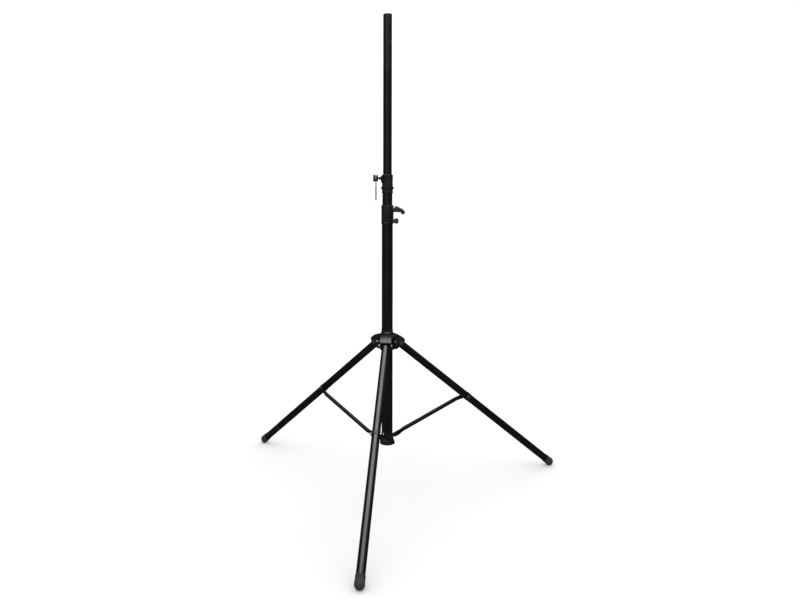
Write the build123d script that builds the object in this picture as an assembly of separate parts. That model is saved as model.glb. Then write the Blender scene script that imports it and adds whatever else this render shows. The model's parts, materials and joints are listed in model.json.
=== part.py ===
"""Telescopic tripod stand for a loudspeaker: three-section mast, sliding leg carrier, three braced legs.

Millimetres, +Z up. The origin is on the floor under the mast axis. Azimuths are degrees about +Z from +X.
"""
from build123d import *
from collections import namedtuple
from math import atan2, cos, hypot, radians, sin
import os

os.makedirs("parts", exist_ok=True)

# ---- driving dimensions -------------------------------------------------------------------------
SLIDE_GAP = 0.3            # radial gap between telescoping tubes
SIDE_GAP = 0.3             # gap beside parts that turn against each other
PIN_GAP = 0.08             # radial gap of a pivot pin or a screw in its hole

TOP_OD = 35.0              # top tube: the pole that a speaker drops on
MID_OD = 40.0
MAIN_OD = 44.0
TOP_WALL = 2.0
MAIN_BOTTOM, MAIN_TOP = 180.0, 1130.0
MID_BOTTOM, MID_TOP = 250.0, 1252.0
POLE_BOTTOM, POLE_TOP = 940.0, 1892.0
POLE_MARK = (1782.0, 1785.0)       # a shallow groove that marks how deep the pole goes in a speaker

LOWER_COLLAR = (1063.0, 1136.5)
LOWER_COLLAR_OD = 49.0
UPPER_COLLAR = (1184.5, 1258.5)
UPPER_COLLAR_OD = 44.8

FRONT_SKEW = 3.4           # the front leg is fitted this far off its even place
LEG_AZIMUTHS = {"front": -90.0 + FRONT_SKEW, "right": 30.0, "left": 150.0}
LEG_OD = 30.0
LEG_WALL = 1.0
LEG_PIVOT_R, LEG_PIVOT_Z = 51.5, 583.5
LEG_BOLT_R = 4.0
FOOT_R = 750.0             # from the mast axis to each foot's centre
FOOT_BALL_R = 17.5
FOOT_FLAT = 0.5            # the ball is worn flat this deep where it stands
FOOT_HALF_WIDTH = 16.2

BRACE_OD = 16.0
BRACE_WALL = 1.5
BRACE_SIDE = 27.5          # brace centre line, sideways from the leg's centre line
BRACE_FLAT = 4.0           # thickness of its ends, pressed flat level with its inner side
BRACE_END_R = 9.0          # their rounded tips
BRACE_ON_LEG = 390.0       # from the leg's pivot, along the leg
BRACE_FOOT_R, BRACE_FOOT_Z = 42.0, 202.5
BRACE_PIN_R = 3.0

LOWER_HUB_Z = (178.0, 212.0)
LOWER_HUB_R = 28.5
LOWER_SCREW_Z = 186.0
LOWER_SCREW_TURN = -45.0   # from each leg to the next screw of the lower hub
EAR_IN, EAR_OUT = 15.6, 19.2       # lower hub's ears, sideways from the leg's centre line

HUB_Z = (560.0, 620.5)
HUB_SLEEVE_R = 30.0
HUB_BORE_R = 24.0
HUB_REACH = 68.0           # how far its three hoods reach
HUB_HALF = 22.0            # half the width of a hood
HUB_RING_TOP = 629.5
HUB_LIP_TOP = 640.0
HUB_BOSS_Z = 584.0
LOCK_AZIMUTH = 90.0        # hub lock knob, between the right and left legs
HUB_SCREW_AZIMUTHS = (-28.3, 211.7)
HUB_SCREW_Z = 593.0
HUB_SCREW_BOSS = (7.0, 42.0)       # radius, and distance of its face from the mast axis

LEVEL_LEG = "left"         # the leg whose foot is on an adjustable inner tube
LEVEL_OD = 27.4
LEVEL_WALL = 1.5
BUTTON_R = 3.0
LEVEL_SLEEVE_R = 14.7      # the black sleeve over the inner tube's foot
LEVEL_SHOWS = 137.4        # from the leg's end to the foot's centre
LEVEL_BAND = 5.0           # how much of the inner tube shows bare, between the leg and the sleeve
LEVEL_HIDDEN = 190.0       # how much of it is inside the leg
LEVEL_HOLES = 6            # a row in the leg, which the spring button catches in
LEVEL_STEP = 20.0
LEVEL_FIRST = 30.0         # from the leg's end to the first of them

SAFETY_Z = 1205.5          # cross hole for the safety pin in the upper collar
SAFETY_PIN_R = 2.6
SAFETY_HOLE_R = 3.2
SAFETY_HOLE_STEP = 100.0
SAFETY_PIN_LENGTH = 64.0

Clamp = namedtuple("Clamp", "azimuth z tube_r screw_r insert_r boss_r boss_end knob_start")
LOWER = Clamp(-27.3, 1118.0, MID_OD / 2, 4.0, 5.6, 8.2, 35.0, 37.0)
UPPER = Clamp(190.0, 1244.5, TOP_OD / 2, 3.0, 4.2, 5.8, 33.0, 35.5)
LOCK = Clamp(LOCK_AZIMUTH, HUB_BOSS_Z, MAIN_OD / 2, 4.0, 5.6, 9.0, 49.0, 51.0)
PLUNGER_AZIMUTH, PLUNGER_Z = -27.3, 1075.5

# ---- worked-out dimensions ----------------------------------------------------------------------
MAIN_R, MID_R, TOP_R, LEG_R = MAIN_OD / 2, MID_OD / 2, TOP_OD / 2, LEG_OD / 2
MAIN_BORE = MID_R + SLIDE_GAP
MID_BORE = TOP_R + SLIDE_GAP
TOP_BORE = TOP_R - TOP_WALL
SLIDE_BORE = MAIN_R + SLIDE_GAP
LEG_BORE = LEG_R - LEG_WALL
LEVEL_R = LEVEL_OD / 2
FOOT_Z = FOOT_BALL_R - FOOT_FLAT
LEG_LENGTH = hypot(FOOT_R - LEG_PIVOT_R, LEG_PIVOT_Z - FOOT_Z)       # pivot to foot centre
LEG_TILT = atan2(FOOT_R - LEG_PIVOT_R, LEG_PIVOT_Z - FOOT_Z)         # from straight down
BRACE_HEAD_R = LEG_PIVOT_R + BRACE_ON_LEG * sin(LEG_TILT)
BRACE_HEAD_Z = LEG_PIVOT_Z - BRACE_ON_LEG * cos(LEG_TILT)
BRACE_LENGTH = hypot(BRACE_HEAD_R - BRACE_FOOT_R, BRACE_HEAD_Z - BRACE_FOOT_Z)
BRACE_IN = BRACE_SIDE - BRACE_OD / 2                                 # inner face of the flat ends
BRACE_OUT = BRACE_IN + BRACE_FLAT
PIN_HOLE_R = BRACE_PIN_R + PIN_GAP
SADDLE_R = LEG_R + 1.4
SADDLE_FACE = BRACE_IN - SIDE_GAP


# ---- helpers ------------------------------------------------------------------------------------
def rod(radius, start, end, base=Plane.XY):
    """A round bar along the base plane's normal, from start to end."""
    bar = Cylinder(radius, end - start, align=(Align.CENTER, Align.CENTER, Align.MIN))
    return base.location * Pos(0, 0, start) * bar


def pipe(outer, inner, start, end, base=Plane.XY):
    return rod(outer, start, end, base) - rod(inner, start - 1, end + 1, base)


def turned(points, base=Plane.XY):
    """A solid of revolution about the base plane's normal, from (radius, height) points."""
    outline = make_face(Polyline(*[(r, 0, h) for r, h in points], close=True))
    return base.location * revolve(outline, Axis.Z, 360)


def plate(points, start, end):
    """A plate in the plane through the mast axis on azimuth 0: (radius, height) points, sideways start to end."""
    outline = make_face(Polyline(*[(r, 0, h) for r, h in points], close=True))
    return Pos(0, start, 0) * extrude(outline, end - start, dir=(0, 1, 0))


def hexagon(across, start, end, base):
    return base.location * Pos(0, 0, start) * extrude(RegularPolygon(across / 2, 6, major_radius=False), end - start)


def bolt_head(across, start, height, base):
    """A hexagon head with the corners turned off its outer face."""
    head = hexagon(across, start, start + height, base)
    return head & turned([(0, start), (across, start), (across, start + height * 0.55),
                          (across * 0.49, start + height), (0, start + height)], base)


def outward(azimuth, z):
    """At height z on the mast axis: the normal points out along the azimuth, X is sideways and Y is up."""
    a = radians(azimuth)
    return Plane(origin=(0, 0, z), x_dir=(-sin(a), cos(a), 0), z_dir=(cos(a), sin(a), 0))


def sideways(r, z):
    """At radius r and height z on azimuth 0, facing sideways."""
    return Plane(origin=(r, 0, z), x_dir=(-1, 0, 0), z_dir=(0, 1, 0))


def swung(shape, azimuth):
    return Rot(0, 0, azimuth) * shape


def save(name, *shapes):
    """Writes the shapes as one node of separate solids."""
    solids = [solid for shape in shapes for solid in shape.solids()]
    made = solids[0] if len(solids) == 1 else Compound(solids)
    made.label = name
    export_step(made, f"parts/{name}.step")


# On azimuth 0, at the leg's pivot: the normal runs down the leg, Y is sideways and X faces down and in.
LEG = Plane(origin=(LEG_PIVOT_R, 0, LEG_PIVOT_Z), x_dir=(-cos(LEG_TILT), 0, -sin(LEG_TILT)),
            z_dir=(sin(LEG_TILT), 0, -cos(LEG_TILT)))
LEG_PIVOT = sideways(LEG_PIVOT_R, LEG_PIVOT_Z)
BRACE_HEAD = sideways(BRACE_HEAD_R, BRACE_HEAD_Z)
BRACE_FOOT = sideways(BRACE_FOOT_R, BRACE_FOOT_Z)


# ---- mast tubes ---------------------------------------------------------------------------------
PAD_R = 4.6
PAD_LENGTH = 3.0
PAD_ROOM = 4.0             # from the gripped tube's surface to the end of the pad's hole
PLUNGER_HOLE_R = 4.2


def main_tube():
    tube = pipe(MAIN_R, MAIN_BORE, MAIN_BOTTOM, MAIN_TOP)
    tube -= rod(PAD_R + 0.3, 0, MAIN_R + 5, outward(LOWER.azimuth, LOWER.z))
    return tube - rod(PLUNGER_HOLE_R, 0, MAIN_R + 5, outward(PLUNGER_AZIMUTH, PLUNGER_Z))


def middle_tube():
    """It has one hole for the plunger near its foot, which catches at full height."""
    tube = pipe(MID_R, MID_BORE, MID_BOTTOM, MID_TOP)
    tube -= rod(PAD_R + 0.3, 0, MID_R + 5, outward(UPPER.azimuth, UPPER.z))
    tube -= rod(SAFETY_HOLE_R, -MID_R - 5, MID_R + 5, outward(UPPER.azimuth, SAFETY_Z))
    return tube - rod(PLUNGER_HOLE_R, 0, MID_R + 5, outward(PLUNGER_AZIMUTH, MID_BOTTOM + 225))


def top_tube():
    tube = pipe(TOP_R, TOP_BORE, POLE_BOTTOM, POLE_TOP - 1.5) - pipe(TOP_R + 1, TOP_R - 0.4, *POLE_MARK)
    for i in range(-1, 6):
        tube -= rod(SAFETY_HOLE_R, -TOP_R - 5, TOP_R + 5, outward(UPPER.azimuth, SAFETY_Z + i * SAFETY_HOLE_STEP))
    return tube


def top_cap():
    """A push-in plug with a thin flange that closes the pole's top."""
    top = POLE_TOP
    return turned([(0, top - 4), (0, top), (TOP_R - 1.2, top), (TOP_R - 0.5, top - 0.6), (TOP_R - 0.5, top - 1.5),
                   (TOP_BORE, top - 1.5), (TOP_BORE, top - 22), (TOP_BORE - 2.5, top - 22),
                   (TOP_BORE - 2.5, top - 4)])


def foot_plug():
    """The plug in the bottom of the main tube."""
    b = MAIN_BOTTOM
    return turned([(0, b - 5), (MAIN_R - 3, b - 5), (MAIN_R, b - 2), (MAIN_R, b), (MAIN_BORE, b),
                   (MAIN_BORE, b + 14), (MAIN_BORE - 3, b + 14), (MAIN_BORE - 3, b - 1.5), (0, b - 1.5)])


# ---- collars and their clamps -------------------------------------------------------------------
def collar(zs, outer, bore, tube_top, lip_bore):
    """A moulded sleeve over a tube's end, thicker at both ends, with a lip over the tube's rim."""
    z0, z1 = zs
    return turned([(bore, z0), (outer - 0.8, z0), (outer, z0 + 0.8), (outer, z0 + 6), (outer - 0.8, z0 + 7),
                   (outer - 0.8, z1 - 11), (outer, z1 - 10), (outer, z1 - 1.5), (outer - 1.5, z1),
                   (lip_bore, z1), (lip_bore, tube_top), (bore, tube_top)])


def boss(clamp):
    return rod(clamp.boss_r, clamp.tube_r, clamp.boss_end, outward(clamp.azimuth, clamp.z))


def lower_collar():
    outer = LOWER_COLLAR_OD / 2
    body = collar(LOWER_COLLAR, outer, MAIN_R, MAIN_TOP, MAIN_BORE) + boss(LOWER)
    clamp, plunger = outward(LOWER.azimuth, LOWER.z), outward(PLUNGER_AZIMUTH, PLUNGER_Z)
    body += rod(7.6, MAIN_R, 31.0, plunger)
    spine = LOWER.z - PLUNGER_Z
    body += plunger.location * Pos(0, spine / 2, (MAIN_R + 29) / 2) * Box(4, spine, 29 - MAIN_R)
    body -= rod(MAIN_R, LOWER_COLLAR[0] - 1, MAIN_TOP) + rod(MAIN_BORE, MAIN_TOP - 1, LOWER_COLLAR[1] + 1)
    return body - rod(LOWER.insert_r, 0, 50, clamp) - rod(BARREL_R, 0, 50, plunger)


def upper_collar():
    """Its clamp boss stands on a wedge, and the safety pin's hole has a low boss at each side."""
    outer = UPPER_COLLAR_OD / 2
    clamp, safety = outward(UPPER.azimuth, UPPER.z), outward(UPPER.azimuth, SAFETY_Z)
    body = collar(UPPER_COLLAR, outer, MID_R, MID_TOP, MID_BORE) + boss(UPPER)
    wedge = [(MID_R, UPPER.z + 12), (outer + 0.5, UPPER.z + 12), (29, UPPER.z + 2), (29, UPPER.z - 3),
             (outer + 0.5, UPPER.z - 20), (MID_R, UPPER.z - 20)]
    body += swung(plate(wedge, -4, 4), UPPER.azimuth)
    body += rod(6, -outer - 2.5, outer + 2.5, safety)
    body -= rod(MID_R, UPPER_COLLAR[0] - 1, MID_TOP) + rod(MID_BORE, MID_TOP - 1, UPPER_COLLAR[1] + 1)
    body -= rod(UPPER.insert_r, 0, 50, clamp) + rod(PAD_R + 0.3, 0, UPPER.tube_r + PAD_ROOM, clamp)
    return body - rod(SAFETY_HOLE_R, -50, 50, safety)


def insert(clamp, start):
    """The threaded brass insert in a clamp's boss."""
    return pipe(clamp.insert_r, clamp.screw_r + PIN_GAP, start, clamp.boss_end, outward(clamp.azimuth, clamp.z))


def pad(clamp):
    """The nylon pad between a clamp screw's tip and the tube that it grips."""
    start = clamp.tube_r + SIDE_GAP
    return rod(PAD_R, start, start + PAD_LENGTH, outward(clamp.azimuth, clamp.z))


def screw(clamp, grip):
    """The clamp screw, from the pad out into its knob."""
    tip = clamp.tube_r + 2 * SIDE_GAP + PAD_LENGTH
    return rod(clamp.screw_r, tip, clamp.knob_start + grip, outward(clamp.azimuth, clamp.z))


HANDLE_GRIP = 24.0
WING_GRIP = 17.0
WING_LENGTH = 21.5
WING_HALF_SPAN = 16.5
WING_THICK = 9.0
GROOVE_R = 6.8             # the groove in the wing knob's grip
GROOVE_WIDTH = 2.8
RING_AT = 45.5             # distance of the ring from the mast axis
STAR_GRIP = 13.0


def t_handle(clamp, tilt):
    """A T handle: a stem over the screw, and a round bar whose ends sweep back towards the mast."""
    s, half, thick, sweep_back = clamp.knob_start, 24.5, 7.2, 6.0
    stem = turned([(0, s), (7.0, s), (7.5, s + 1.5), (7.0, s + 12), (8.5, s + 24), (7.5, s + 34), (5, s + 36.5),
                   (0, s + 36.5)])
    arc = ThreePointArc((-half, 0, s + 29 - sweep_back), (0, 0, s + 29), (half, 0, s + 29 - sweep_back))
    bar = sweep(Plane(origin=arc @ 0, z_dir=arc % 0) * Circle(thick), path=arc)
    for end in (arc @ 0, arc @ 1):
        bar += Pos(*end) * Sphere(thick)
    shape = stem + bar - rod(clamp.screw_r, s - 1, s + HANDLE_GRIP)
    return outward(clamp.azimuth, clamp.z).location * Rot(0, 0, tilt) * shape


def wing_knob(clamp, tilt):
    """A wing knob with two thick wings, and a groove round its grip that the safety pin's ring hangs in."""
    s, end, half = clamp.knob_start, clamp.knob_start + WING_LENGTH, WING_HALF_SPAN
    hub = turned([(0, s), (6.0, s), (7.2, s + 2), (9.5, s + 5), (9.5, end - 2), (8, end), (0, end)])
    wings = make_face(Polyline((-7, 0, s + 4), (3 - half, 0, s + 1.5), (1 - half, 0, s + 3), (-half, 0, s + 8),
                               (-half, 0, end - 3), (3 - half, 0, end), (-7, 0, end - 1), (7, 0, end - 1),
                               (half - 3, 0, end), (half, 0, end - 3), (half, 0, s + 8), (half - 1, 0, s + 3),
                               (half - 3, 0, s + 1.5), (7, 0, s + 4), close=True))
    shape = hub + extrude(wings, WING_THICK / 2, dir=(0, 1, 0), both=True) - rod(clamp.screw_r, s - 1, s + WING_GRIP)
    groove = pipe(half + 5, GROOVE_R, RING_AT - GROOVE_WIDTH / 2, RING_AT + GROOVE_WIDTH / 2)
    return outward(clamp.azimuth, clamp.z).location * Rot(0, 0, tilt) * (shape - groove)


def star_knob(clamp, arms, reach):
    """A round knob with finger hollows between its arms."""
    s = clamp.knob_start
    shape = turned([(0, s), (8, s), (8.5, s + 4), (reach - 2, s + 6), (reach, s + 8), (reach, s + 17),
                    (reach - 3, s + 20), (0, s + 21)])
    for i in range(arms):
        shape -= Rot(0, 0, 360 / arms * (i + 0.5)) * Pos(reach + 5, 0, 0) * rod(8, s - 1, s + 22)
    shape -= rod(clamp.screw_r, s - 1, s + STAR_GRIP)
    return outward(clamp.azimuth, clamp.z).location * shape


# ---- plunger of the lower collar ----------------------------------------------------------------
PLUNGER = outward(PLUNGER_AZIMUTH, PLUNGER_Z)
BARREL_R = 5.6
BARREL = (MAIN_R + 1.0, 38.0)
BARREL_ROOM = (MAIN_R + 2.6, 36.6)
PLUNGER_PIN_R = 2.6
PLUNGER_SHOULDER = (24.8, 26.0)
PLUNGER_KNOB = 39.0
SPRING_WIRE_R = 0.4
SPRING_TURNS = 5


def plunger_barrel():
    """The threaded housing: it guides the pin at both ends, and the spring is inside."""
    shell = rod(BARREL_R, *BARREL, PLUNGER) - rod(BARREL_R - 1.2, *BARREL_ROOM, PLUNGER)
    return shell - rod(PLUNGER_PIN_R + PIN_GAP, BARREL[0] - 1, BARREL[1] + 1, PLUNGER)


def plunger_pin():
    return rod(PLUNGER_PIN_R, MID_R + 0.35, PLUNGER_KNOB + 9, PLUNGER) + rod(4.1, *PLUNGER_SHOULDER, PLUNGER)


def plunger_spring():
    """A compression spring between the pin's shoulder and the barrel's outer end."""
    first, last = PLUNGER_SHOULDER[1] + SPRING_WIRE_R + 0.1, BARREL_ROOM[1] - SPRING_WIRE_R - 0.1
    path = Helix((last - first) / SPRING_TURNS, last - first, PLUNGER_PIN_R + SPRING_WIRE_R + 0.2)
    wire = sweep(Plane(origin=path @ 0, z_dir=path % 0) * Circle(SPRING_WIRE_R), path=path, is_frenet=True)
    return PLUNGER.location * Pos(0, 0, first) * wire


def plunger_knob():
    s = PLUNGER_KNOB
    return turned([(PLUNGER_PIN_R, s), (6.5, s), (7.0, s + 1), (10.4, s + 2.5), (11.4, s + 5.5), (10.4, s + 9),
                   (6.5, s + 11.5), (0, s + 12), (0, s + 9), (PLUNGER_PIN_R, s + 9)], PLUNGER)


# ---- safety pin, hung in the wing knob's groove -------------------------------------------------
HANG = outward(UPPER.azimuth, UPPER.z).offset(RING_AT)
RING_R = 14.5
RING_WIRE_R = 0.8
RING_DROP = RING_R - RING_WIRE_R - GROOVE_R - SIDE_GAP
EYE_R = 2.7
EYE_WIRE_R = 1.2
EYE_DROP = RING_DROP + RING_R + EYE_R - EYE_WIRE_R - RING_WIRE_R - 0.1


def safety_ring():
    return HANG.location * Pos(0, -RING_DROP, 0) * Torus(RING_R, RING_WIRE_R)


def safety_pin():
    """A straight steel pin with an eye bent at its top and a tapered tip."""
    eye = HANG.location * Pos(0, -EYE_DROP, 0) * Rot(0, 90, 0) * Torus(EYE_R, EYE_WIRE_R)
    top = HANG.location * Pos(0, -EYE_DROP - EYE_R, 0) * Rot(90, 0, 0)
    shank = Cylinder(SAFETY_PIN_R, SAFETY_PIN_LENGTH, align=(Align.CENTER, Align.CENTER, Align.MIN))
    shank = chamfer(shank.edges().group_by(Axis.Z)[0], 2.0, 1.2)
    return eye + top * chamfer(shank.edges().group_by(Axis.Z)[-1], 2.0, 1.2)


# ---- sliding leg carrier ------------------------------------------------------------------------
ROOF_TOP = [(26, HUB_Z[1]), (38, HUB_Z[1] - 1.5), (50, HUB_Z[1] - 6), (60, HUB_Z[1] - 13), (66, HUB_Z[1] - 18.5),
            (HUB_REACH, HUB_Z[1] - 21.5)]
ROOF_UNDER = [(HUB_REACH, 594.0), (61.6, 600.2), (51.5, 604.0), (35, 606.0)]


def upper_hub():
    """A sleeve with three hoods. Each hood is a sloping roof over two cheeks that hold a leg's bolt."""
    body = turned([(HUB_BORE_R, HUB_Z[0]), (HUB_SLEEVE_R - 2, HUB_Z[0]), (HUB_SLEEVE_R, HUB_Z[0] + 2),
                   (HUB_SLEEVE_R, HUB_Z[1] - 16), (35, HUB_Z[1] - 11), (35, HUB_Z[1] - 5), (32, HUB_Z[1] - 1),
                   (26, HUB_Z[1]), (HUB_BORE_R, HUB_Z[1])])
    cheek = [(62, 577), (57, 571), (50, 568.5), (43, 569), (34, HUB_Z[0] + 2), (26, HUB_Z[0] + 2)]
    for azimuth in LEG_AZIMUTHS.values():
        body += swung(plate(ROOF_TOP + [(HUB_REACH, 594.0), (65.5, 587)] + cheek, -HUB_HALF, HUB_HALF), azimuth)
    body += rod(LOCK.boss_r, HUB_SLEEVE_R - 3, LOCK.boss_end, outward(LOCK_AZIMUTH, HUB_BOSS_Z))
    for azimuth in HUB_SCREW_AZIMUTHS:
        body += rod(HUB_SCREW_BOSS[0], HUB_SLEEVE_R - 3, HUB_SCREW_BOSS[1], outward(azimuth, HUB_SCREW_Z))
    for azimuth in LEG_AZIMUTHS.values():
        pocket = plate(ROOF_UNDER + [(35, HUB_Z[0] - 5), (HUB_REACH + 9, HUB_Z[0] - 5), (HUB_REACH + 9, 583.0)],
                       -LEG_R - SIDE_GAP, LEG_R + SIDE_GAP)
        body -= swung(pocket + rod(LEG_BOLT_R, -40, 40, LEG_PIVOT), azimuth)
    body -= rod(HUB_BORE_R, HUB_Z[0] - 1, HUB_Z[1] + 1)
    body -= rod(LOCK.insert_r, 0, 50, outward(LOCK_AZIMUTH, HUB_BOSS_Z))
    for azimuth in HUB_SCREW_AZIMUTHS:
        body -= rod(3.0, 0, 50, outward(azimuth, HUB_SCREW_Z))
    return body


def hub_liner():
    """The plastic bush that slides on the main tube."""
    liner = pipe(HUB_BORE_R, SLIDE_BORE, HUB_Z[0], HUB_Z[1])
    return liner - rod(PAD_R + 0.3, 0, 50, outward(LOCK_AZIMUTH, HUB_BOSS_Z))


def hub_ring():
    """The ring on top of the carrier, with a lip that wipes the tube."""
    r = MAIN_R
    return turned([(SLIDE_BORE, HUB_Z[1]), (r + 1.8, HUB_Z[1]), (r + 1.8, HUB_Z[1] + 1), (r + 3.2, HUB_Z[1] + 2),
                   (r + 3.2, HUB_RING_TOP - 1), (r + 2.2, HUB_RING_TOP), (r + 1.0, HUB_RING_TOP + 1.5),
                   (r + 0.9, HUB_LIP_TOP),
                   (SLIDE_BORE, HUB_LIP_TOP)])


def hub_screws():
    """Two screws that pin the liner in the carrier."""
    made = []
    for azimuth in HUB_SCREW_AZIMUTHS:
        base = outward(azimuth, HUB_SCREW_Z)
        made.append(rod(3.0, HUB_BORE_R, HUB_SCREW_BOSS[1], base) + bolt_head(10, HUB_SCREW_BOSS[1], 4.5, base))
    return made


def leg_bolts():
    """One bolt through each hood's cheeks, headed on one side."""
    bolt = rod(LEG_BOLT_R, -HUB_HALF - 6.0, HUB_HALF, LEG_PIVOT) + bolt_head(13, HUB_HALF, 3.6, LEG_PIVOT)
    return [swung(bolt, azimuth) for azimuth in LEG_AZIMUTHS.values()]


def leg_bolt_nuts():
    far = Plane(origin=LEG_PIVOT.origin, x_dir=LEG_PIVOT.x_dir, z_dir=-LEG_PIVOT.z_dir)
    nut = bolt_head(13, HUB_HALF, 4.8, far) - rod(LEG_BOLT_R, HUB_HALF - 1, HUB_HALF + 6, far)
    return [swung(nut, azimuth) for azimuth in LEG_AZIMUTHS.values()]


# ---- lower hub ----------------------------------------------------------------------------------
def lower_hub():
    """A moulding fixed on the main tube's foot, with an ear beside each leg for the brace's pin.
    Each ear's hole is open below, so that its pin can drop clear of it."""
    z0, z1 = LOWER_HUB_Z
    body = turned([(MAIN_R, z0), (LOWER_HUB_R - 1.5, z0), (LOWER_HUB_R, z0 + 1.5), (LOWER_HUB_R, z0 + 15),
                   (LOWER_HUB_R - 2.5, z0 + 19), (LOWER_HUB_R - 4, z1 - 2), (MAIN_R + 1, z1), (MAIN_R, z1)])
    r, z = BRACE_FOOT_R, BRACE_FOOT_Z
    ear = [(12, z0 + 14), (25, z0 + 14), (r - 7, z - 6.5), (r + 4.5, z - 6.5), (r + 6.5, z - 4), (r + 6.5, z + 4),
           (r + 4, z + 7), (r - 7, z + 7.5), (23, z1), (12, z1)]
    slot = [(r - PIN_HOLE_R, z), (r - PIN_HOLE_R - 5.5, z - 20), (r + PIN_HOLE_R, z - 20), (r + PIN_HOLE_R, z)]
    for azimuth in LEG_AZIMUTHS.values():
        body += swung(plate(ear, EAR_IN, EAR_OUT), azimuth)
    for azimuth in LEG_AZIMUTHS.values():
        body -= swung(plate(slot, 0, 50) + rod(PIN_HOLE_R, 0, 50, BRACE_FOOT), azimuth)
        body -= rod(3.0, 0, 50, outward(azimuth + LOWER_SCREW_TURN, LOWER_SCREW_Z))
    return body - rod(MAIN_R, z0 - 1, z1 + 1)


def lower_hub_screws():
    """Three screws that fix the lower hub on the tube, between its ears."""
    made = []
    for azimuth in LEG_AZIMUTHS.values():
        base = outward(azimuth + LOWER_SCREW_TURN, LOWER_SCREW_Z)
        made.append(rod(3.0, MAIN_R, LOWER_HUB_R, base) + bolt_head(10, LOWER_HUB_R, 4, base))
    return made


# ---- legs, on azimuth 0 -------------------------------------------------------------------------
SLEEVE_END = 26.0          # the foot's socket reaches this far up from its ball's centre
TUBE_STOP = 5.0            # and the tube stops this far short of it
SPACER_R = 5.5             # the spacer between a leg's strap and its brace


def leg_end(levelling):
    return LEG_LENGTH - (LEVEL_SHOWS if levelling else TUBE_STOP)


def level_hole(i):
    """Across the levelling leg at its hole number i, counted up from its end; the normal points out."""
    hole = LEG.offset(leg_end(True) - LEVEL_FIRST - LEVEL_STEP * i)
    return Plane(origin=hole.origin, x_dir=LEG.x_dir, z_dir=(0, -1, 0))


def leg_tube(levelling):
    tube = pipe(LEG_R, LEG_BORE, 0, leg_end(levelling), LEG)
    tube -= rod(LEG_BOLT_R + 1.0, -20, 20, LEG_PIVOT) + rod(PIN_HOLE_R, -20, 20, BRACE_HEAD)
    if levelling:
        for i in range(LEVEL_HOLES):
            tube -= level_hole(i).location * rod(3.6, 0, 20)
    return tube


def leg_plug():
    """The moulded end that turns on the bolt: half round above the pivot, and a spigot in the tube."""
    dome = rod(LEG_R, -LEG_R, LEG_R, LEG_PIVOT) & (LEG.location * Pos(0, 0, -LEG_R / 2) * Box(40, 40, LEG_R))
    body = dome & (LEG.location * Pos(0, 0, -20) * Cylinder(LEG_R, 40))
    body += rod(LEG_BORE, 0, 30, LEG)
    return body - rod(LEG_BOLT_R + PIN_GAP, -30, 30, LEG_PIVOT)


def saddle():
    """A strap round the leg where the brace's bolt goes through."""
    body = pipe(SADDLE_R, LEG_R, -9, 9, LEG.offset(BRACE_ON_LEG))
    return body - rod(PIN_HOLE_R, -40, 40, BRACE_HEAD)


def saddle_bolt():
    """It passes through the strap, the leg, a spacer and the brace, and has a nut on the far side."""
    start = -SADDLE_R - 5.5
    far = Plane(origin=BRACE_HEAD.origin, x_dir=BRACE_HEAD.x_dir, z_dir=-BRACE_HEAD.z_dir)
    bolt = rod(BRACE_PIN_R, start, BRACE_OUT + SIDE_GAP, BRACE_HEAD)
    bolt += bolt_head(10, BRACE_OUT + SIDE_GAP, 4, BRACE_HEAD)
    nut = bolt_head(10, SADDLE_R + 0.2, 4.4, far) - rod(BRACE_PIN_R, SADDLE_R, SADDLE_R + 8, far)
    spacer = pipe(SPACER_R, PIN_HOLE_R, LEG_R, SADDLE_FACE, BRACE_HEAD)
    spacer -= rod(SADDLE_R, -20, 20, LEG.offset(BRACE_ON_LEG))
    return [bolt, nut, spacer]


def foot(tube_r):
    """A rubber ball foot with a socket for the tube, flat at both sides and where it stands."""
    end = LEG_LENGTH
    socket = turned([(0, end - SLEEVE_END), (LEG_R + 1.2, end - SLEEVE_END), (LEG_R + 1.6, end - SLEEVE_END + 2),
                     (LEG_R + 1.6, end), (0, end)], LEG)
    ball = LEG.location * Pos(0, 0, end) * Sphere(FOOT_BALL_R)
    body = socket + ball
    body &= Pos(FOOT_R, 0, 50) * Box(120, 2 * FOOT_HALF_WIDTH, 100)
    return body - rod(tube_r, end - 60, end - TUBE_STOP, LEG)


def level_tube():
    """The inner tube of the levelling leg, with a hole for its spring button."""
    start, end = leg_end(True) - LEVEL_HIDDEN, LEG_LENGTH - TUBE_STOP
    tube = pipe(LEVEL_R, LEVEL_R - LEVEL_WALL, start, end, LEG)
    return tube - level_hole(LEVEL_HOLES - 1).location * rod(BUTTON_R + 0.2, 0, 20)


def level_button():
    """The domed spring button that catches in the leg's highest hole, with its shoulder inside the inner tube."""
    inner, top = LEVEL_R - LEVEL_WALL - 0.9, LEVEL_R - 0.1
    return turned([(0, inner - 2), (BUTTON_R + 1.2, inner - 2), (BUTTON_R + 1.2, inner), (BUTTON_R, inner),
                   (BUTTON_R, top - 0.7), (BUTTON_R - 1, top), (0, top)], level_hole(LEVEL_HOLES - 1))


def level_sleeve():
    """The black sleeve on the inner tube's foot, which stops it against the leg's end."""
    return pipe(LEVEL_SLEEVE_R, LEVEL_R, leg_end(True) + LEVEL_BAND, LEG_LENGTH - TUBE_STOP, LEG)


# ---- braces, on azimuth 0 -----------------------------------------------------------------------
BRACE_ROUND_FROM = 40.0    # the bar is flat from each tip to the loft, and round from here on
BRACE_FLAT_TO = 20.0
BRACE_WIDE = 2 * BRACE_END_R


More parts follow.
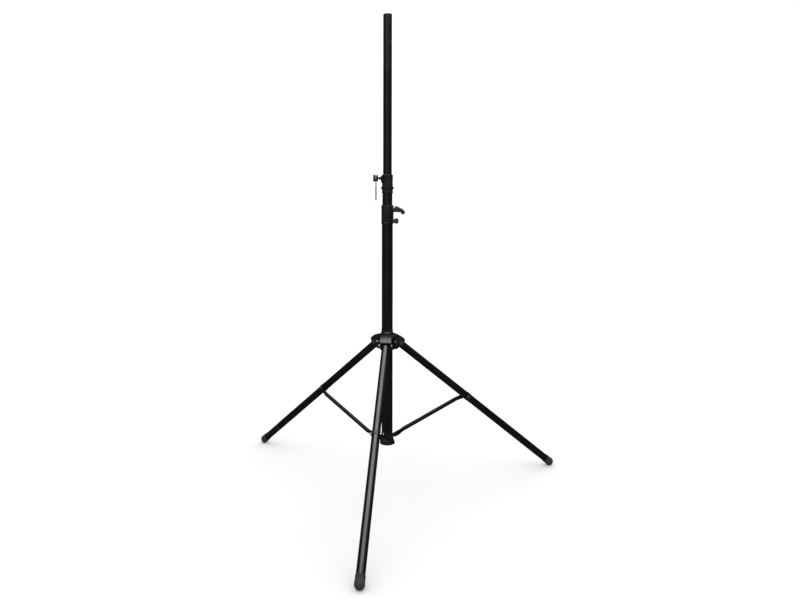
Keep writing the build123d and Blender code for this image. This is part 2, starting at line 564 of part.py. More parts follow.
def brace():
    """A tube whose ends are pressed flat, rounded and drilled."""
    pressed = (BRACE_IN + BRACE_OUT) / 2 - BRACE_SIDE
    tilt = atan2(BRACE_HEAD_R - BRACE_FOOT_R, BRACE_HEAD_Z - BRACE_FOOT_Z)
    bar = Plane(origin=(BRACE_FOOT_R, BRACE_SIDE, BRACE_FOOT_Z), x_dir=(0, 1, 0), z_dir=(sin(tilt), 0, cos(tilt)))
    far = Plane(origin=(BRACE_HEAD_R, BRACE_SIDE, BRACE_HEAD_Z), x_dir=(0, 1, 0), z_dir=(-sin(tilt), 0, -cos(tilt)))
    body = pipe(BRACE_OD / 2, BRACE_OD / 2 - BRACE_WALL, BRACE_ROUND_FROM, BRACE_LENGTH - BRACE_ROUND_FROM, bar)
    for end in (bar, far):
        flat = end.offset(BRACE_FLAT_TO) * Pos(pressed, 0) * RectangleRounded(BRACE_FLAT, BRACE_WIDE, 1.9)
        body += loft([flat, end.offset(BRACE_ROUND_FROM) * Circle(BRACE_OD / 2)])
        body += end.location * Pos(pressed, 0, BRACE_FLAT_TO / 2) * Box(BRACE_FLAT, BRACE_WIDE, BRACE_FLAT_TO)
    for end in (BRACE_FOOT, BRACE_HEAD):
        body += rod(BRACE_END_R, BRACE_IN, BRACE_OUT, end)
        body -= rod(PIN_HOLE_R, 0, 50, end)
    return body


def brace_pin():
    """A shouldered pin, fast in the brace's foot, that hangs in the lower hub's ear."""
    pin = rod(BRACE_PIN_R, EAR_IN + 0.2, BRACE_OUT + 0.2, BRACE_FOOT)
    return pin + bolt_head(10, BRACE_OUT + 0.2, 4, BRACE_FOOT)


# ---- write every node ---------------------------------------------------------------------------
save("main_tube", main_tube())
save("foot_plug", foot_plug())
save("lower_hub", lower_hub())
save("lower_hub_screws", *lower_hub_screws())
save("lower_collar", lower_collar())
save("lower_clamp_insert", insert(LOWER, LOWER.tube_r + PAD_ROOM + 0.5))
save("lower_clamp_pad", pad(LOWER))
save("lower_clamp_screw", screw(LOWER, HANDLE_GRIP))
save("lower_clamp_handle", t_handle(LOWER, -22))
save("plunger_barrel", plunger_barrel())
save("plunger_pin", plunger_pin())
save("plunger_spring", plunger_spring())
save("plunger_knob", plunger_knob())
save("middle_tube", middle_tube())
save("upper_collar", upper_collar())
save("upper_clamp_insert", insert(UPPER, UPPER.tube_r + PAD_ROOM + 0.5))
save("upper_clamp_pad", pad(UPPER))
save("upper_clamp_screw", screw(UPPER, WING_GRIP))
save("upper_clamp_knob", wing_knob(UPPER, 40))
save("safety_ring", safety_ring())
save("safety_pin", safety_pin())
save("top_tube", top_tube())
save("top_cap", top_cap())
save("upper_hub", upper_hub())
save("hub_liner", hub_liner())
save("hub_ring", hub_ring())
save("hub_screws", *hub_screws())
save("hub_lock_insert", insert(LOCK, HUB_SLEEVE_R - 2))
save("hub_lock_pad", pad(LOCK))
save("hub_lock_screw", screw(LOCK, STAR_GRIP))
save("hub_lock_knob", star_knob(LOCK, 5, 18.5))
save("leg_bolts", *leg_bolts())
save("leg_bolt_nuts", *leg_bolt_nuts())
for side, azimuth in LEG_AZIMUTHS.items():
    levelling = side == LEVEL_LEG
    save(f"leg_tube_{side}", swung(leg_tube(levelling), azimuth))
    save(f"leg_plug_{side}", swung(leg_plug(), azimuth))
    save(f"saddle_{side}", swung(saddle(), azimuth))
    save(f"saddle_bolt_{side}", *[swung(piece, azimuth) for piece in saddle_bolt()])
    save(f"foot_{side}", swung(foot(LEVEL_SLEEVE_R if levelling else LEG_R), azimuth))
    save(f"brace_{side}", swung(brace(), azimuth))
    save(f"brace_pin_{side}", swung(brace_pin(), azimuth))
save(f"level_tube_{LEVEL_LEG}", swung(level_tube(), LEG_AZIMUTHS[LEVEL_LEG]))
save(f"level_sleeve_{LEVEL_LEG}", swung(level_sleeve(), LEG_AZIMUTHS[LEVEL_LEG]))
save(f"level_button_{LEVEL_LEG}", swung(level_button(), LEG_AZIMUTHS[LEVEL_LEG]))
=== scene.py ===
"""Finishes a telescopic tripod speaker stand: paint, mouldings, rubber, plated steel and its studio."""
import json
import math

import bmesh
import bpy
from bpy.props import FloatProperty, FloatVectorProperty, PointerProperty
from mathutils import Matrix, Vector


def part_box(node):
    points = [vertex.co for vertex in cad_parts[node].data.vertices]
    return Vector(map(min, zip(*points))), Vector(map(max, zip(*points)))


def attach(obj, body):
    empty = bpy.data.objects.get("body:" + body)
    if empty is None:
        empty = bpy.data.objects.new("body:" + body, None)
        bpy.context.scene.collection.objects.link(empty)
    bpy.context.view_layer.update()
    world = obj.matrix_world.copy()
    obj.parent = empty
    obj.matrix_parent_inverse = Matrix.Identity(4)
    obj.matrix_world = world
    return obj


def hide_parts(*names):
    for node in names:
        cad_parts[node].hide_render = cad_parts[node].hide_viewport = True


bl_info = {
    "name": "Speaker Stand Finish",
    "version": (1, 0, 0),
    "blender": (4, 5, 0),
    "location": "View3D > Sidebar > Stand",
    "description": "Surface detail, materials and studio for a tripod speaker stand",
    "category": "Object",
}

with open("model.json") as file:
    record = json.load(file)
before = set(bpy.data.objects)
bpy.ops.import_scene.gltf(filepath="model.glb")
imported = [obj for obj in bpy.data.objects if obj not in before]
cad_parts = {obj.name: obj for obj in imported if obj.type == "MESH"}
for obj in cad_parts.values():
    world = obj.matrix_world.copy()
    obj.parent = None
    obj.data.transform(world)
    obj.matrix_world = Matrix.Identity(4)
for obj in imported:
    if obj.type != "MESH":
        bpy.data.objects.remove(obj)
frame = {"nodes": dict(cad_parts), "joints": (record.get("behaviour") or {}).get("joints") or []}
NODES = frame["nodes"]
JOINTS = {joint["name"]: joint for joint in frame["joints"]}
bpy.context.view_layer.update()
SIDES = ("front", "right", "left")
MM = 0.001
FOOT_R = 0.750              # from the mast axis to a foot's centre
FOOT_Z = 0.017
TURN_STEPS = 64             # steps of a full turn on round pieces
HANDLE_TURN = math.radians(-22)     # how far each knob is turned from upright
WING_TURN = math.radians(40)
PAINT_RELIEF = 0.00002      # depth of each finish's fine relief, in metres
MOULD_RELIEF = 0.00003
KNOB_RELIEF = 0.00001
RUBBER_RELIEF = 0.00006
PLATING_RELIEF = 0.000004
BRIGHT_RELIEF = 0.000003
WELD_GAP = 0.01 * MM        # vertices closer than this are one
EDGE_ANGLE = math.radians(32)       # sharper edges are rounded
# Each screw thread that shows: name, joint, body, then radius, start, end and pitch in millimetres.
THREADS = (
    ("upper_screw_thread", "upper_knob_turn", "upper_knob", 3.0, 33.2, 35.4, 1.0),
    ("lower_screw_thread", "lower_handle_turn", "lower_handle", 4.0, 35.2, 36.9, 1.25),
    ("lock_screw_thread", "lock_knob_turn", "lock_knob", 4.0, 49.2, 50.9, 1.25),
)


# ---- shader groups ------------------------------------------------------------------------------
def new_group(name, inputs, outputs):
    """An empty shader group, from input names with their defaults and output names with their kinds."""
    group = bpy.data.node_groups.new(name, "ShaderNodeTree")
    for label, default in inputs.items():
        kind = "NodeSocketVector" if label == "Vector" else "NodeSocketColor" if isinstance(default, tuple) \
            else "NodeSocketFloat"
        socket = group.interface.new_socket(label, in_out="INPUT", socket_type=kind)
        if label != "Vector":
            socket.default_value = default
    for label, kind in outputs.items():
        group.interface.new_socket(label, in_out="OUTPUT", socket_type=kind)
    return group, group.nodes.new("NodeGroupInput").outputs, group.nodes.new("NodeGroupOutput").inputs


def add(tree, kind, links=None, **settings):
    """A node with its settings; links maps an input's name or number to a socket or a value."""
    made = tree.nodes.new("ShaderNode" + kind)
    for key, value in settings.items():
        setattr(made, key, value)
    for key, value in (links or {}).items():
        if isinstance(value, bpy.types.NodeSocket):
            tree.links.new(value, made.inputs[key])
        else:
            made.inputs[key].default_value = value
    return made


def ramp(tree, fac, low, high, to_low=0.0, to_high=1.0):
    """Maps fac from low..high to to_low..to_high, clamped."""
    made = add(tree, "MapRange", {"Value": fac, "From Min": low, "From Max": high, "To Min": to_low,
                                  "To Max": to_high})
    return made.outputs["Result"]


def math_node(tree, operation, a, b=0.0):
    return add(tree, "Math", {0: a, 1: b}, operation=operation).outputs[0]


def noise(tree, vector, scale, detail=4.0, roughness=0.55):
    return add(tree, "TexNoise", {"Vector": vector, "Scale": scale, "Detail": detail,
                                  "Roughness": roughness}).outputs["Fac"]


def paint_group():
    """Satin powder coat: fine orange peel, slow changes of gloss, faint rubs along the part's own Z."""
    group, given, made = new_group(
        "powder_coat", {"Vector": None, "Color": (0.01, 0.01, 0.01, 1), "Rub Color": (0.05, 0.05, 0.05, 1),
                        "Roughness": 0.4, "Rub Amount": 0.3},
        {"Color": "NodeSocketColor", "Roughness": "NodeSocketFloat", "Height": "NodeSocketFloat"})
    long = add(group, "Mapping", {"Vector": given["Vector"], "Scale": (260.0, 260.0, 5.0)}).outputs[0]
    streak = ramp(group, noise(group, long, 1.0, 3.0), 0.58, 0.75)
    rub = math_node(group, "MULTIPLY", streak, given["Rub Amount"])
    patch = noise(group, given["Vector"], 7.0, 3.0)
    rub = math_node(group, "MULTIPLY", rub, ramp(group, patch, 0.42, 0.6))
    peel = noise(group, given["Vector"], 850.0, 2.0)
    mix = add(group, "MixRGB", {"Fac": rub, "Color1": given["Color"], "Color2": given["Rub Color"]})
    group.links.new(mix.outputs[0], made["Color"])
    gloss = math_node(group, "ADD", given["Roughness"], ramp(group, patch, 0.35, 0.65, -0.04, 0.05))
    gloss = math_node(group, "SUBTRACT", gloss, math_node(group, "MULTIPLY", rub, 0.08))
    group.links.new(gloss, made["Roughness"])
    group.links.new(peel, made["Height"])
    return group


def grain_group():
    """Moulded plastic or rubber: fine spark-eroded grain over slow clouding."""
    group, given, made = new_group(
        "moulded_grain", {"Vector": None, "Color": (0.02, 0.02, 0.02, 1),
                          "Bloom Color": (0.06, 0.06, 0.06, 1), "Roughness": 0.55, "Grain Scale": 1500.0,
                          "Bloom": 0.25},
        {"Color": "NodeSocketColor", "Roughness": "NodeSocketFloat", "Height": "NodeSocketFloat"})
    grain = noise(group, given["Vector"], given["Grain Scale"], 3.0, 0.6)
    cloud = noise(group, given["Vector"], 26.0, 4.0)
    bloom = math_node(group, "MULTIPLY", ramp(group, cloud, 0.4, 0.72), given["Bloom"])
    mix = add(group, "MixRGB", {"Fac": bloom, "Color1": given["Color"], "Color2": given["Bloom Color"]})
    group.links.new(mix.outputs[0], made["Color"])
    gloss = math_node(group, "ADD", given["Roughness"], ramp(group, grain, 0.3, 0.7, -0.06, 0.06))
    gloss = math_node(group, "ADD", gloss, math_node(group, "MULTIPLY", bloom, 0.2))
    group.links.new(gloss, made["Roughness"])
    group.links.new(grain, made["Height"])
    return group


def plating_group():
    """Plated steel: fine turning lines, handling haze and small stains."""
    group, given, made = new_group(
        "plating", {"Vector": None, "Color": (0.6, 0.6, 0.58, 1), "Stain Color": (0.3, 0.28, 0.24, 1),
                    "Roughness": 0.25, "Stain": 0.3},
        {"Color": "NodeSocketColor", "Roughness": "NodeSocketFloat", "Height": "NodeSocketFloat"})
    wave = {"Vector": given["Vector"], "Scale": 900.0, "Distortion": 3.0, "Detail": 2.0}
    line = add(group, "TexWave", wave, bands_direction="Z").outputs["Fac"]
    haze = noise(group, given["Vector"], 190.0, 4.0)
    stain = math_node(group, "MULTIPLY", ramp(group, haze, 0.5, 0.75), given["Stain"])
    mix = add(group, "MixRGB", {"Fac": stain, "Color1": given["Color"], "Color2": given["Stain Color"]})
    group.links.new(mix.outputs[0], made["Color"])
    gloss = math_node(group, "ADD", given["Roughness"], ramp(group, haze, 0.3, 0.7, -0.05, 0.12))
    group.links.new(gloss, made["Roughness"])
    group.links.new(line, made["Height"])
    return group


# ---- materials ----------------------------------------------------------------------------------
def coated(name, group, values, depth, turn=None, metallic=0.0, specular=0.5):
    """A material whose colour, gloss and fine relief come from one shader group, on object coordinates."""
    material = bpy.data.materials.new(name)
    material.use_nodes = True
    tree = material.node_tree
    shader = tree.nodes["Principled BSDF"]
    place = add(tree, "TexCoord").outputs["Object"]
    if turn is not None:
        place = add(tree, "Mapping", {"Vector": place, "Rotation": turn}).outputs[0]
    body = add(tree, "Group", node_tree=bpy.data.node_groups[group])
    tree.links.new(place, body.inputs["Vector"])
    for key, value in values.items():
        body.inputs[key].default_value = value
    tree.links.new(body.outputs["Color"], shader.inputs["Base Color"])
    tree.links.new(body.outputs["Roughness"], shader.inputs["Roughness"])
    relief = add(tree, "Bump", {"Height": body.outputs["Height"], "Strength": 1.0, "Distance": depth})
    tree.links.new(relief.outputs[0], shader.inputs["Normal"])
    shader.inputs["Metallic"].default_value = metallic
    shader.inputs["Specular IOR Level"].default_value = specular
    return material


def grey(value, warm=0.0):
    """A grey, or with warm above 0 a slightly brown one."""
    return (value * (1 + warm), value, value * (1 - warm), 1.0)


def tube_paint(name, values, axis=None, specular=0.5):
    """Black powder coat whose rubs run along the tube's axis."""
    turn = None
    if axis is not None:
        turn = Vector(axis).rotation_difference(Vector((0, 0, 1))).to_euler()
    return coated(name, "powder_coat", values, PAINT_RELIEF, turn, specular=specular)


def each(*names):
    """The names of parts that every leg has."""
    return [f"{name}_{side}" for side in SIDES for name in names]


def dress(material, *names):
    """Gives carried-over parts a material."""
    for name in names:
        NODES[name].data.materials.clear()
        NODES[name].data.materials.append(material)


class StandColours(bpy.types.PropertyGroup):
    """Colours and finish of the stand."""
    tube: FloatVectorProperty(name="Tube paint", description="Satin black of the tubes",
                              subtype="COLOR", size=4, min=0, max=1, default=grey(0.0038))
    tube_rough: FloatProperty(name="Tube roughness", description="Roughness of the tube paint",
                              subtype="FACTOR", min=0.05, max=1, default=0.36)
    moulding: FloatVectorProperty(name="Moulding", description="Black of the collars and hubs",
                                  subtype="COLOR", size=4, min=0, max=1, default=grey(0.0055))
    knob: FloatVectorProperty(name="Knob", description="Black of the knobs and the handle",
                              subtype="COLOR", size=4, min=0, max=1, default=grey(0.008))
    rubber: FloatVectorProperty(name="Rubber", description="Black of the feet",
                                subtype="COLOR", size=4, min=0, max=1, default=grey(0.008))
    steel: FloatVectorProperty(name="Plated steel", description="Zinc plating of bolts and screws",
                               subtype="COLOR", size=4, min=0, max=1,
                               default=(0.50, 0.50, 0.48, 1.0))
    bright: FloatVectorProperty(name="Bright steel", description="Nickel plating of the safety pin",
                                subtype="COLOR", size=4, min=0, max=1,
                                default=(0.44, 0.44, 0.43, 1.0))


class PieceSizes(bpy.types.PropertyGroup):
    """Sizes of the sculpted pieces, in metres."""
    soften: FloatProperty(name="Moulded edge", description="Radius on the edges of the mouldings",
                          unit="LENGTH", default=0.9 * MM)
    steel_edge: FloatProperty(name="Steel edge", description="Radius on the edges of bolts and tubes",
                              unit="LENGTH", default=0.25 * MM)
    handle_half: FloatProperty(name="Handle half-width",
                               description="From the T handle's stem to its ends' centres",
                               unit="LENGTH", default=24.5 * MM)
    handle_thick: FloatProperty(name="Handle thickness", description="Radius of the T handle's bar",
                                unit="LENGTH", default=8.0 * MM)
    wing_half: FloatProperty(name="Wing half-width", description="From the wing knob's axis to its tips",
                             unit="LENGTH", default=16.5 * MM)
    star_reach: FloatProperty(name="Star reach", description="From the star knob's axis to its lobes' tips",
                              unit="LENGTH", default=18.5 * MM)
    ring_radius: FloatProperty(name="Split ring",
                               description="Radius of the ring that holds the safety pin",
                               unit="LENGTH", default=14.5 * MM)
    ball: FloatProperty(name="Foot ball", description="Radius of a foot's rubber ball",
                        unit="LENGTH", default=17.5 * MM)
    socket: FloatProperty(name="Foot socket", description="Radius of a foot's ribbed socket",
                          unit="LENGTH", default=16.5 * MM)
    foot_width: FloatProperty(name="Foot half-width", description="From a foot's middle to its flat sides",
                              unit="LENGTH", default=16.2 * MM)


class StudioSettings(bpy.types.PropertyGroup):
    """The camera and the light."""
    azimuth: FloatProperty(name="Camera azimuth", description="Where the camera stands round the mast",
                           subtype="ANGLE", default=math.radians(-80.31))
    distance: FloatProperty(name="Camera distance", description="From the mast axis",
                            unit="LENGTH", default=2.888)
    height: FloatProperty(name="Camera height", description="Above the floor", unit="LENGTH", default=1.223)
    aside: FloatProperty(name="Camera yaw", description="How far it looks left of the mast",
                         subtype="ANGLE", default=math.radians(2.5))
    down: FloatProperty(name="Camera pitch", description="How far it looks down", subtype="ANGLE",
                        default=math.radians(1.93))
    lens: FloatProperty(name="Lens", description="Focal length in millimetres", default=32.61)
    shift_x: FloatProperty(name="Shift X", description="Sideways lens shift", default=0.0553)
    shift_y: FloatProperty(name="Shift Y", description="Upward lens shift", default=-0.115)
    floor_colour: FloatVectorProperty(name="Floor", description="Colour of the floor",
                                      subtype="COLOR", size=4, min=0, max=1, default=grey(0.88))
    # Painted dark reflection: the grey the floor takes in the stand's reflections, far darker than the floor
    # itself
    floor_painted_dark_reflection: FloatProperty(name="Floor in reflections", description="Its grey as the stand reflects it",
                               default=0.04)
    backdrop: FloatProperty(name="Backdrop", description="Brightness of the white round the stand",
                            default=1.14)
    backdrop_gloss: FloatProperty(name="Backdrop in reflections",
                                  description="Its brightness as the stand reflects it", default=0.015)
    overhead: FloatProperty(name="Overhead light", description="Power of the softbox overhead",
                            unit="POWER", default=205.0)
    fill: FloatProperty(name="Fill light", description="Power of the fill beside the camera",
                        unit="POWER", default=9.0)
    backlight: FloatProperty(name="Back light", description="Power of the strip behind the stand",
                             unit="POWER", default=10.0)


# ---- pieces -------------------------------------------------------------------------------------
def square_frame(out, origin):
    """Z along out, Y up and X sideways, with its origin moved there."""
    out = Vector(out).normalized()
    side = Vector((0, 0, 1)).cross(out).normalized()
    up = out.cross(side)
    turned = Matrix((side, up, out)).transposed().to_4x4()
    return Matrix.Translation(origin) @ turned


def clamp_frame(joint):
    """The frame of a clamp: its origin on the mast axis, Z out through its knob, Y up."""
    turn = JOINTS[joint]
    return square_frame(turn["axis"], (0, 0, turn["pos_m"][2]))


def plunger_frame(node):
    """The frame of the plunger, level with one of its parts: its origin on the mast axis, Z out, Y up."""
    low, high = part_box(node)
    return square_frame(JOINTS["plunger_pull"]["axis"], (0, 0, (low.z + high.z) / 2))


def leg_frame(side):
    """Its origin at a leg's pivot, Z down the leg and X sideways, and the distance to the foot's centre."""
    pivot = Vector(JOINTS[f"leg_{side}_fold"]["pos_m"])
    flat = Vector((pivot.x, pivot.y, 0)).normalized()
    foot = flat * FOOT_R + Vector((0, 0, FOOT_Z))
    return square_frame(foot - pivot, pivot), (foot - pivot).length


def piece(name, bm, place, material, body, sharp=40.0):
    """Puts the mesh in its place and makes an object of it that rides on a body."""
    bmesh.ops.remove_doubles(bm, verts=bm.verts, dist=1e-6)
    bm.transform(place)
    bmesh.ops.recalc_face_normals(bm, faces=bm.faces)
    for face in bm.faces:
        face.smooth = True
    for edge in bm.edges:
        edge.smooth = len(edge.link_faces) != 2 or edge.calc_face_angle() < math.radians(sharp)
    mesh = bpy.data.meshes.new(name)
    bm.to_mesh(mesh)
    bm.free()
    made = bpy.data.objects.new(name, mesh)
    bpy.context.collection.objects.link(made)
    mesh.materials.append(bpy.data.materials[material])
    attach(made, body)
    return made


def outline_mm(points, start=0.0):
    """(radius, height) points in millimetres turned to metres, with their heights counted from start."""
    return [(radius * MM, start + height * MM) for radius, height in points]


def lathe(bm, points, steps=TURN_STEPS):
    """Turns (radius, height) points about Z, and closes both ends on the axis."""
    path = [bm.verts.new((radius, 0, height)) for radius, height in points]
    edges = [bm.edges.new(pair) for pair in zip(path, path[1:])]
    bmesh.ops.spin(bm, geom=path + edges, axis=(0, 0, 1), cent=(0, 0, 0), angle=2 * math.pi, steps=steps,
                   use_merge=True)
    bmesh.ops.remove_doubles(bm, verts=bm.verts, dist=1e-7)


def slab(bm, outline, thickness, edge):
    """A plate with rounded edges in the XZ plane, from its (x, z) outline."""
    flat = bmesh.new()
    face = flat.faces.new([flat.verts.new((x, -thickness / 2, z)) for x, z in outline])
    grown = bmesh.ops.extrude_face_region(flat, geom=[face])
    top = [item for item in grown["geom"] if isinstance(item, bmesh.types.BMVert)]
    bmesh.ops.translate(flat, verts=top, vec=(0, thickness, 0))
    bmesh.ops.recalc_face_normals(flat, faces=flat.faces)
    bmesh.ops.bevel(flat, geom=flat.edges, offset=edge, segments=4, affect="EDGES", profile=0.5, material=-1)
    join(bm, flat)


def join(bm, other):
    """Adds another bmesh's shells to bm."""
    mesh = bpy.data.meshes.new("shell")
    other.to_mesh(mesh)
    other.free()
    bm.from_mesh(mesh)
    bpy.data.meshes.remove(mesh)


def ball(bm, place, radius):
    bmesh.ops.create_uvsphere(bm, u_segments=40, v_segments=24, radius=radius,
                              matrix=Matrix.Translation(place))


def fuse(made, grain, passes):
    """Melts a piece's shells into one moulding with filleted corners."""
    melt = made.modifiers.new("melt", "REMESH")
    melt.mode = "VOXEL"
    melt.voxel_size = grain
    melt.use_smooth_shade = True
    relax = made.modifiers.new("relax", "SMOOTH")
    relax.factor = 0.5
    relax.iterations = passes
    return made


def thread(name, place, radius, start, end, pitch, material, body):
    """The helical ridge of a screw thread."""
    bm = bmesh.new()
    depth, half_width, root = 0.3 * pitch, 0.36 * pitch, radius - 0.1 * MM
    corners = ((root, start - half_width), (radius + depth, start), (root, start + half_width))
    ridge = bm.faces.new([bm.verts.new((r, 0, h)) for r, h in corners])
    turns = (end - start) / pitch
    steps = round(turns * 40)
    bmesh.ops.spin(bm, geom=[ridge], axis=(0, 0, 1), cent=(0, 0, 0), dvec=(0, 0, (end - start) / steps),
                   angle=2 * math.pi * turns, steps=steps)
    return piece(name, bm, place, material, body, 60.0)


def soften(width, *names):
    """Rounds the edges of carried-over parts."""
    for name in names:
        node = NODES[name]
        weld = node.modifiers.new("weld", "WELD")
        weld.merge_threshold = WELD_GAP
        edge = node.modifiers.new("edge", "BEVEL")
        edge.width = width
        edge.segments = 2
        edge.limit_method = "ANGLE"
        edge.angle_limit = EDGE_ANGLE
        even = node.modifiers.new("even", "WEIGHTED_NORMAL")
        even.keep_sharp = True


# ---- operators ----------------------------------------------------------------------------------
class STAND_OT_materials(bpy.types.Operator):
    """Builds the shader groups and dresses the carried-over parts"""
    bl_idname = "stand.materials"
    bl_label = "Materials"

    def execute(self, context):
        look = context.scene.stand_colours
        paint_group()
        grain_group()
        plating_group()
        paint = {"Color": look.tube[:], "Roughness": look.tube_rough, "Rub Color": grey(0.03),
                 "Rub Amount": 0.35}
        dull = dict(paint, Roughness=0.5)
        dress(tube_paint("mast_paint", paint), "main_tube", "middle_tube", "top_tube")
        for side in SIDES:
            down = leg_frame(side)[0].col[2].xyz
            dress(tube_paint(f"leg_paint_{side}", paint, down), f"leg_tube_{side}")
            head = Vector(JOINTS[f"brace_{side}_fold"]["pos_m"])
            low = sum(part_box(f"brace_pin_{side}"), Vector()) / 2
            dress(tube_paint(f"brace_paint_{side}", dull, head - low, 0.2), f"brace_{side}")
        mould = {"Color": look.moulding[:], "Bloom Color": grey(0.022), "Roughness": 0.42, "Bloom": 0.3}
        moulding = coated("black_moulding", "moulded_grain", mould, MOULD_RELIEF)
        dress(moulding, "upper_hub", "hub_ring", "lower_hub", "foot_plug", "top_cap", *each("leg_plug"))
        mould["Roughness"] = 0.55
        collar = coated("collar_moulding", "moulded_grain", mould, MOULD_RELIEF, specular=0.25)
        dress(collar, "lower_collar", "upper_collar", "level_sleeve_left")
        knob = {"Color": look.knob[:], "Bloom Color": grey(0.02), "Roughness": 0.33, "Grain Scale": 900.0,
                "Bloom": 0.15}
        coated("black_knob", "moulded_grain", knob, KNOB_RELIEF)
        rubber = {"Color": look.rubber[:], "Roughness": 0.72, "Grain Scale": 620.0, "Bloom": 0.5,
                  "Bloom Color": grey(0.035, 0.05)}
        coated("black_rubber", "moulded_grain", rubber, RUBBER_RELIEF)
        zinc = coated("zinc_steel", "plating", {"Color": look.steel[:], "Roughness": 0.34}, PLATING_RELIEF,
                      metallic=1.0)
        dress(zinc, "leg_bolts", "leg_bolt_nuts", "hub_screws", "plunger_pin", "plunger_spring",
              "level_button_left", "level_tube_left", *each("saddle_bolt"))
        bright = coated("bright_steel", "plating",
                        {"Color": look.bright[:], "Roughness": 0.27, "Stain": 0.25}, BRIGHT_RELIEF,
                        metallic=1.0)
        dress(bright, "safety_pin")
        black_steel = coated("black_steel", "plating",
                             {"Color": grey(0.02), "Stain Color": grey(0.05), "Roughness": 0.38},
                             PLATING_RELIEF, metallic=0.5)
        dress(black_steel, "lower_hub_screws", "plunger_barrel", "hub_lock_screw", "upper_clamp_screw",
              "lower_clamp_screw", *each("saddle", "brace_pin"))
        brass = coated("brass", "plating",
                       {"Color": (0.72, 0.52, 0.2, 1), "Roughness": 0.3, "Stain Color": (0.3, 0.2, 0.09, 1)},
                       PLATING_RELIEF, metallic=1.0)
        dress(brass, "lower_clamp_insert", "upper_clamp_insert", "hub_lock_insert")
        nylon = coated("nylon", "moulded_grain",
                       {"Color": (0.72, 0.70, 0.64, 1), "Roughness": 0.45, "Bloom": 0.2,
                        "Bloom Color": (0.5, 0.48, 0.42, 1)}, PAINT_RELIEF)
        dress(nylon, "lower_clamp_pad", "upper_clamp_pad", "hub_lock_pad", "hub_liner")
        return {"FINISHED"}


class STAND_OT_edges(bpy.types.Operator):
    """Rounds the edges of the mouldings, the tubes' ends and the bolts"""
    bl_idname = "stand.edges"
    bl_label = "Rounded edges"

    def execute(self, context):
        size = context.scene.stand_sizes
        soften(size.soften, "lower_collar", "upper_collar", "upper_hub", "hub_ring", "lower_hub",
               *each("leg_plug"))
        soften(size.steel_edge, "main_tube", "middle_tube", "top_tube", "top_cap", "foot_plug", "leg_bolts",
               "leg_bolt_nuts", "hub_screws", "lower_hub_screws", "level_sleeve_left", "level_tube_left",
               *each("leg_tube", "saddle", "saddle_bolt", "brace", "brace_pin"))
        return {"FINISHED"}


class STAND_OT_t_handle(bpy.types.Operator):
    """Sculpts the T handle of the lower clamp"""
    bl_idname = "stand.t_handle"
    bl_label = "T handle"

    def execute(self, context):
        size = context.scene.stand_sizes
        start, half, thick = 37 * MM, size.handle_half, size.handle_thick
        crown, drop = start + 29 * MM, 6 * MM
        bm = bmesh.new()
        stem = ((0, 0), (7.2, 0), (8.2, 0.8), (8.2, 3), (7.6, 4.5), (7.2, 10), (7.4, 16), (8.0, 24),
                (8.0, 33), (5.8, 35.6), (0, 36.2))
        lathe(bm, outline_mm(stem, start))
        bend = (half * half + drop * drop) / (2 * drop)
        sweep = math.asin(half / bend)
        grip = bmesh.new()
        low = Matrix.Translation((0, 0, crown)) @ Matrix.Rotation(math.pi / 2, 4, "Y")
        section = bmesh.ops.create_circle(grip, segments=28, radius=thick, matrix=low)["verts"]
        centre = (0, 0, crown - bend)
        bmesh.ops.rotate(grip, verts=section, cent=centre, matrix=Matrix.Rotation(-sweep, 3, "Y"))
        ring = section + list({edge for vert in section for edge in vert.link_edges})
        bmesh.ops.spin(grip, geom=ring, axis=(0, 1, 0), cent=centre, angle=2 * sweep, steps=36)
        bmesh.ops.holes_fill(grip, edges=grip.edges)
        for vert in grip.verts:
            waist = 1 - 0.16 * math.cos(math.pi / 2 * min(1, abs(vert.co.x) / half)) ** 2
            vert.co.y *= waist
        join(bm, grip)
        for end in (-half, half):
            ball(bm, (end, 0, crown - drop), thick)
        place = clamp_frame("lower_handle_turn") @ Matrix.Rotation(HANDLE_TURN, 4, "Z")
        made = fuse(piece("t_handle", bm, place, "black_knob", "lower_handle"), 0.7 * MM, 8)
        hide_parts("lower_clamp_handle")
        return {"FINISHED"}


class STAND_OT_wing_knob(bpy.types.Operator):
    """Sculpts the wing knob of the upper clamp, with the groove that the split ring hangs in"""
    bl_idname = "stand.wing_knob"
    bl_label = "Wing knob"

    def execute(self, context):
        half = context.scene.stand_sizes.wing_half / MM
        start, end, groove = 35.5, 57.0, (44.3, 46.7)
        bm = bmesh.new()
        hub = ((0, start), (5.8, start), (6.6, start + 0.8), (7.8, start + 3), (11, start + 5.5),
               (11, groove[0]), (6.8, groove[0]), (6.8, groove[1]), (11, groove[1]), (11, end - 2.5),
               (9.6, end - 0.6), (7.6, end), (0, end - 0.6))
        lathe(bm, outline_mm(hub))
        near = ((4, start + 4), (half - 3, start + 1.5), (half - 1, start + 3), (half, groove[0] - 0.5),
                (half - 0.5, groove[0]), (4, groove[0]))
        far = ((4, groove[1]), (half - 0.5, groove[1]), (half, groove[1] + 0.5), (half, end - 3),
               (half - 2.5, end), (4, end - 1))
        for side in (1, -1):
            for outline in (near, far):
                slab(bm, [(side * x * MM, z * MM) for x, z in outline], 11 * MM, 1.0 * MM)
        place = clamp_frame("upper_knob_turn") @ Matrix.Rotation(WING_TURN, 4, "Z")
        made = fuse(piece("wing_knob", bm, place, "black_knob", "upper_knob"), 0.45 * MM, 4)
        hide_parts("upper_clamp_knob")
        return {"FINISHED"}


